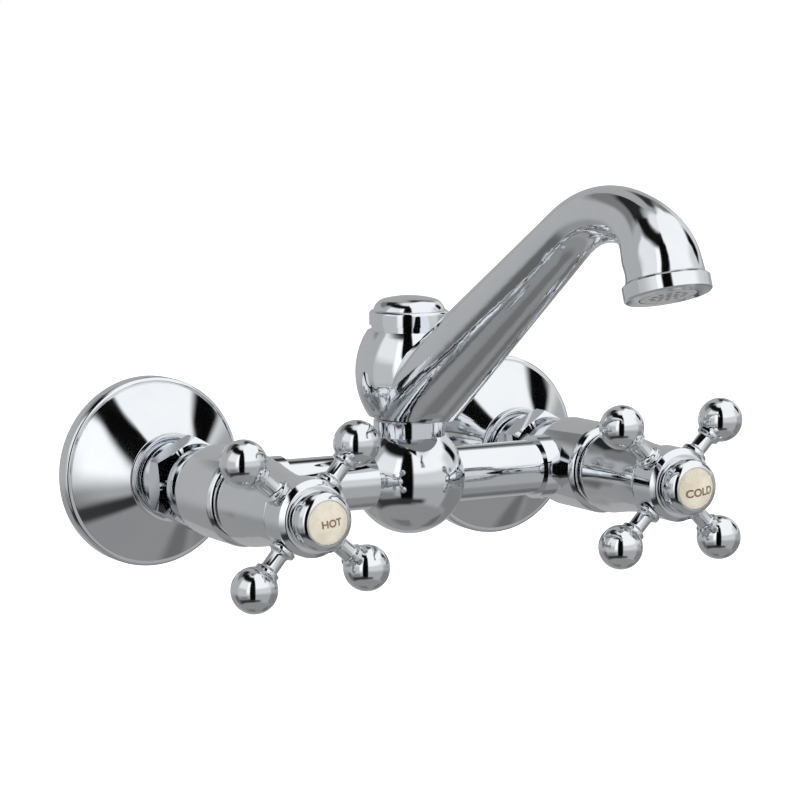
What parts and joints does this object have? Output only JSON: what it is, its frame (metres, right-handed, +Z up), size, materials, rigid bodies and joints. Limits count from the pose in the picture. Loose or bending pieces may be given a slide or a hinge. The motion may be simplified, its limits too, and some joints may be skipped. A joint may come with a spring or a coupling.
{
  "type": "wall-mounted sink mixer",
  "caption": "Wall-mounted bridge mixer in chrome with cross handles, porcelain index buttons and a swan-neck swivel spout.",
  "frame": {"origin": "on the wall plane, midway between the axes of the two inlets", "axes": "+X from the hot (left) inlet to the cold (right) inlet as seen from the front, +Y into the wall, +Z up"},
  "size_m": [0.2208, 0.2582, 0.1481],
  "materials": {
    "chrome": "polished chrome plate",
    "brass": "machined brass",
    "rubber": "matt black",
    "alumina_ceramic": "lapped",
    "porcelain": "ivory glaze",
    "stainless_steel": "plain",
    "white_plastic": "moulded"
  },
  "bodies": {
    "mixer": {"cold_fixed_disc": "alumina_ceramic", "cold_headwork_body": "brass", "cold_headwork_gasket": "rubber", "cold_inlet_tail": "chrome", "cold_seat_seal": "rubber", "cold_shroud": "chrome", "cold_union_nut": "chrome", "cold_union_washer": "rubber", "cold_wall_connector": "chrome", "cold_wall_flange": "chrome", "hot_fixed_disc": "alumina_ceramic", "hot_headwork_body": "brass", "hot_headwork_gasket": "rubber", "hot_inlet_tail": "chrome", "hot_seat_seal": "rubber", "hot_shroud": "chrome", "hot_union_nut": "chrome", "hot_union_washer": "rubber", "hot_wall_connector": "chrome", "hot_wall_flange": "chrome", "mixer_body": "chrome", "retainer_screw": "stainless_steel", "retainer_washer": "stainless_steel", "spout_post": "brass", "spout_post_rings": "rubber"},
    "hot_handle": {"hot_moving_disc": "alumina_ceramic", "hot_spindle": "brass", "hot_spindle_rings": "rubber", "hot_spindle_clip": "stainless_steel", "hot_handle_hub": "chrome", "hot_handle_arm_1": "chrome", "hot_handle_arm_2": "chrome", "hot_handle_arm_3": "chrome", "hot_handle_arm_4": "chrome", "hot_handle_screw": "stainless_steel", "hot_index_ring": "chrome", "hot_index_button": "porcelain"},
    "cold_handle": {"cold_moving_disc": "alumina_ceramic", "cold_spindle": "brass", "cold_spindle_rings": "rubber", "cold_spindle_clip": "stainless_steel", "cold_handle_hub": "chrome", "cold_handle_arm_1": "chrome", "cold_handle_arm_2": "chrome", "cold_handle_arm_3": "chrome", "cold_handle_arm_4": "chrome", "cold_handle_screw": "stainless_steel", "cold_index_ring": "chrome", "cold_index_button": "porcelain"},
    "spout": {"spout": "chrome", "spout_hub_cap": "chrome", "lower_slide_ring": "white_plastic", "upper_slide_ring": "white_plastic", "aerator_ring": "chrome", "aerator_washer": "rubber", "aerator_insert": "white_plastic"}
  },
  "joints": [
    {"name": "hot_handle_turn", "type": "hinge", "parent": "mixer", "child": "hot_handle", "pos_m": [-0.075, -0.066, 0], "axis": [0, -1, 0], "range_deg": [0, 90]},
    {"name": "cold_handle_turn", "type": "hinge", "parent": "mixer", "child": "cold_handle", "pos_m": [0.075, -0.066, 0], "axis": [0, -1, 0], "range_deg": [0, 90]},
    {"name": "spout_swivel", "type": "hinge", "parent": "mixer", "child": "spout", "pos_m": [0, -0.066, 0], "axis": [0, 0, 1], "range_deg": [-100, 100]}
  ]
}
